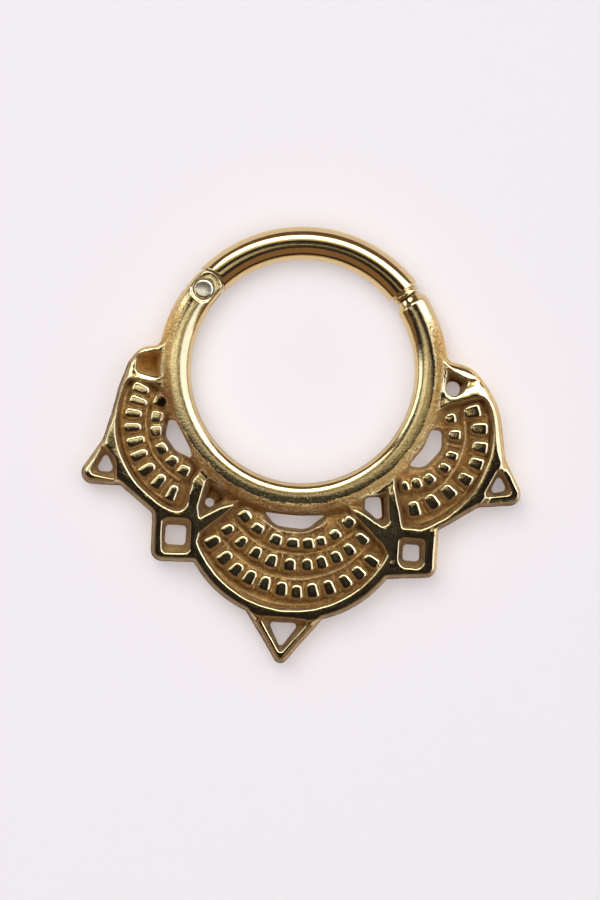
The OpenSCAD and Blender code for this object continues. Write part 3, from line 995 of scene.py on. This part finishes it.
class Metal:
    """A metal material, with a short way to add each kind of node that is used here."""

    def __init__(self, name):
        self.material = bpy.data.materials.new(name)
        self.material.use_nodes = True
        self.tree = self.material.node_tree
        self.place = self.add("TexCoord", {}, "Object")
        self.finish({"Metallic": 1.0})

    def feed(self, node, inputs):
        """Sets inputs of a node to numbers or colours, or links them to outputs."""
        for title, value in inputs.items():
            if isinstance(value, bpy.types.NodeSocket):
                self.tree.links.new(value, node.inputs[title])
            else:
                node.inputs[title].default_value = (*value, 1) if isinstance(value, tuple) else value

    def add(self, kind, inputs, output, **settings):
        """Adds a node and returns one of its outputs."""
        node = self.tree.nodes.new("ShaderNode" + kind)
        for title, value in settings.items():
            setattr(node, title, value)
        self.feed(node, inputs)
        return node.outputs[output]

    def finish(self, inputs):
        """Feeds the shader itself."""
        self.feed(self.tree.nodes["Principled BSDF"], inputs)

    def attribute(self, title):
        """Numbers that the mesh stores."""
        return self.add("Attribute", {}, "Fac", attribute_name=title)

    def noise(self, size_mm, detail, roughness=0.6):
        """Noise on the object's own coordinates."""
        scale = 1 / (size_mm * MM)
        inputs = {"Vector": self.place, "Scale": scale, "Detail": detail, "Roughness": roughness}
        return self.add("TexNoise", inputs, "Fac")

    def ramp(self, value, low, high, to_low, to_high):
        """A value carried over from one range to another, and held at its ends."""
        inputs = {"Value": value, "From Min": low, "From Max": high, "To Min": to_low, "To Max": to_high}
        return self.add("MapRange", inputs, "Result")

    def maths(self, kind, a, b):
        """Two values added, subtracted or multiplied."""
        return self.add("Math", {0: a, 1: b}, 0, operation=kind)

    def mixed(self, share, a, b):
        """A mix of two colours; the share is that of the second."""
        return self.add("Mix", {"Factor": share, 6: a, 7: b}, 2, data_type="RGBA")

    def patches(self):
        """Soft patches, for slightly different colours."""
        return self.ramp(self.noise(0.45, 3), 0.35, 0.7, 0, 1)

    def pitted(self, least, most):
        """Roughness between two values, higher in small pits."""
        return self.ramp(self.noise(0.08, 4, 0.75), 0.5, 0.7, least, most)

    def bump(self, grain, depth_mm, strength):
        """The grain as a bump."""
        return self.add("Bump", {"Height": grain, "Distance": depth_mm * MM, "Strength": strength}, "Normal")


def polished_brass(name, colour, roughness, grain_size, grain_depth):
    """Plain polished brass with faint patches, pits and grain."""
    metal = Metal(name)
    metal.finish({
        "Base Color": metal.mixed(metal.patches(), colour, darker(colour, 0.9)),
        "Roughness": metal.pitted(roughness, roughness + 0.05),
        "Normal": metal.bump(metal.noise(grain_size, 4, 0.7), grain_depth, 0.05)})
    return metal.material


def cast_brass():
    """Brass, polished where the mesh says so and matte and grainy elsewhere, with painted glints in the
    grain, and darkened where the mesh stores dirt and painted shade.
    """
    metal = Metal("cast_brass")
    specks = metal.noise(0.06, 3, 0.75)
    ragged = metal.maths("ADD", metal.attribute("polish"), metal.ramp(specks, 0.3, 0.7, -0.4, 0.4))
    smoothness = metal.ramp(ragged, 0.35, 0.65, 0, 1)
    patches = metal.patches()
    grain = metal.noise(0.1, 4, 0.7)
    worn = metal.attribute("worn")
    clouds = metal.ramp(metal.noise(0.3, 3), 0.3, 0.6, 0.6, 1)
    # share of dirt and painted shade, as the mesh stores it
    dirt_and_shade_share = metal.maths("MULTIPLY", metal.attribute("dirt_and_shade"), metal.ramp(patches, 0, 1, 0.7, 0.95))
    # painted shade on walls and rims, in soft clouds
    painted_shade = metal.maths("MULTIPLY", metal.attribute("wall"), clouds)

    matte = metal.mixed(patches, MATTE, darker(MATTE, 0.8))
    matte = metal.mixed(metal.ramp(grain, 0.42, 0.58, 0, 0.85), matte, darker(MATTE, 0.5))
    # pale specks: painted glints on the grain
    matte = metal.mixed(metal.ramp(specks, 0.53, 0.61, 0, 0.85), matte, PAINTED_GLINT)
    matte = metal.mixed(worn, matte, WORN)
    polished = metal.mixed(patches, POLISHED, darker(POLISHED, 0.9))
    # dirt and painted shade darken the colour here
    colour = metal.mixed(dirt_and_shade_share, metal.mixed(smoothness, matte, polished), DIRT_AND_SHADE)

    roughness = metal.ramp(smoothness, 0, 1, 0.32, 0.1)
    roughness = metal.maths("SUBTRACT", roughness, metal.ramp(worn, 0, 1, 0, 0.15))
    roughness = metal.maths("ADD", roughness, metal.ramp(painted_shade, 0, 1, 0, 0.4))
    metal.finish({
        "Base Color": metal.mixed(painted_shade, colour, SHADE_BROWN),
        "Metallic": metal.ramp(painted_shade, 0, 1, 1, 0.1),
        "Roughness": metal.maths("ADD", roughness, metal.pitted(0, 0.2)),
        "Normal": metal.bump(grain, 0.13, metal.ramp(smoothness, 0, 1, 1, 0.05))})
    return metal.material


cast = cast_brass()
plain = polished_brass("polished_brass", (0.76, 0.57, 0.28), 0.12, 0.08, 0.01)
turned = polished_brass("pin_brass", (0.86, 0.76, 0.6), 0.2, 0.05, 0.02)

PIECES = [
    (build_body(), cast, "body", "ring_body", "cast_brass"),
    (build_arm(), plain, "arm", "clicker_arm", "polished_brass"),
    (build_pin(), turned, "body", "hinge_pin", "pin_brass")]
for piece, material, rides, node, slot in PIECES:
    piece.data.materials.append(material)
    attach(piece, rides)
    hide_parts(node)


FLOOR_HALF = 1500  # the floor reaches this far from the ring's centre
FLOOR_Z = -0.01


def build_floor():
    """A wide pale sheet just under the ring."""
    corners = [(x * FLOOR_HALF, y * FLOOR_HALF, FLOOR_Z) for x, y in ((-1, -1), (1, -1), (1, 1), (-1, 1))]
    floor = make_mesh("floor", np.array(corners), np.array([[0, 1, 2, 3]]))
    material = bpy.data.materials.new("pale_paper")
    material.use_nodes = True
    shader = material.node_tree.nodes["Principled BSDF"]
    shader.inputs["Base Color"].default_value = (0.86, 0.83, 0.85, 1)
    shader.inputs["Roughness"].default_value = 0.9
    shader.inputs["Specular IOR Level"].default_value = 0.1
    floor.data.materials.append(material)


build_floor()

# Studio light, in metres. The metal mirrors one set of lights and another lights the floor, so that neither
# washes out the other. Each light is a rectangle; its radiance is that of its face.
LIGHT_FAR = 0.3
CARD_HIGH = 0.03


def light_panel(name, middle, side, face, wide, tall, radiance, tint, mirrored, shadow=True):
    """A rectangle of light: side is its wide direction and face points away from the ring."""
    data = bpy.data.lights.new(name, "AREA")
    data.shape = "RECTANGLE"
    data.size, data.size_y = wide, tall
    data.energy = radiance * math.pi * wide * tall
    data.color = tint
    data.use_shadow = shadow
    light = add_object(name, data)
    light.location = middle
    light.rotation_mode = "QUATERNION"
    light.rotation_quaternion = Matrix((side, face.cross(side), face)).transposed().to_quaternion()
    light.visible_camera = False
    light.visible_diffuse = not mirrored
    light.visible_glossy = mirrored


def soft_box(name, compass, from_zenith, wide, tall, radiance, tint, mirrored=True, shadow=True):
    """A far soft box, by compass direction and angle from straight up; all angles in degrees."""
    a, e = math.radians(compass), math.radians(from_zenith)
    away = Vector((math.cos(a) * math.sin(e), math.sin(a) * math.sin(e), math.cos(e)))
    side = Vector((-math.sin(a), math.cos(a), 0))
    sizes = [2 * LIGHT_FAR * math.tan(math.radians(angle / 2)) for angle in (wide, tall)]
    light_panel(name, away * LIGHT_FAR, side, away, *sizes, radiance, tint, mirrored, shadow)


def pale_card(name, x_from, x_to, y_from, y_to, radiance, tint):
    """A level card close above the ring, given by its edges in millimetres."""
    middle = Vector(((x_from + x_to) / 2 * MM, (y_from + y_to) / 2 * MM, CARD_HIGH))
    wide, tall = (x_to - x_from) * MM, (y_to - y_from) * MM
    light_panel(name, middle, Vector((1, 0, 0)), Vector((0, 0, 1)), wide, tall, radiance, tint, True)


soft_box("top_window", 80, 42.5, 84, 22, 6.0, (0.8, 0.9, 1))
soft_box("top_window_edge", 80, 25, 84, 10, 0.8, (1, 0.9, 0.55))
soft_box("right_window", 12, 54, 60, 62, 2.3, (0.63, 0.73, 1))
soft_box("north_wall", 90, 72, 170, 30, 0.14, (1, 0.62, 0.4))
soft_box("south_wall", -90, 52, 150, 40, 0.24, (1, 0.6, 0.32))
pale_card("left_card", -20, -1.5, -0.7, 4.2, 1.35, (0.95, 0.98, 0.95))
pale_card("left_card_lower", -20, -1.5, -1.9, -0.7, 0.55, (0.95, 0.98, 0.9))
pale_card("right_card", 3.9, 6.1, -2.1, 0.3, 0.9, (1, 0.95, 0.72))
pale_card("right_card_inner", 0.4, 3.9, -1.3, 0.7, 1.7, (1, 0.95, 0.72))
pale_card("front_card", -3.2, 3.2, -7.2, -5.3, 0.12, (0.75, 1, 0.95))
light_panel("left_wall", Vector((-20, 5, 12)) * MM, Vector((0, 1, 0)), Vector((-1, 0, 0)), 14 * MM, 16 * MM,
            2.6, (0.72, 0.86, 1), True)
soft_box("floor_fill", 90, 0, 100, 100, 1.3, (1, 0.985, 0.995), False, False)
soft_box("floor_key", 125, 32, 40, 40, 1.5, (1, 0.985, 0.995), False)
world = bpy.data.worlds.new("room")
world.use_nodes = True
world.node_tree.nodes["Background"].inputs["Color"].default_value = (0.022, 0.018, 0.022, 1)
scene = bpy.context.scene
scene.world = world
scene.view_settings.view_transform = "Standard"

# Camera: straight above, turned as in the photograph
CAMERA_FAR = 0.15
PHOTO_TURN = math.radians(3.75)
PHOTO_HIGH = 32.26 * MM
PHOTO_MIDDLE = (0.087 * MM, -2.81 * MM)
SENSOR = 24
camera_data = bpy.data.cameras.new("camera")
camera_data.sensor_fit = "VERTICAL"
camera_data.sensor_height = SENSOR
camera_data.lens = SENSOR * CAMERA_FAR / PHOTO_HIGH
camera_data.clip_start = 0.001
camera = add_object("camera", camera_data)
camera.location = (*PHOTO_MIDDLE, CAMERA_FAR + wire_z * MM)
camera.rotation_euler = (0, 0, PHOTO_TURN)
bpy.context.scene.camera = camera
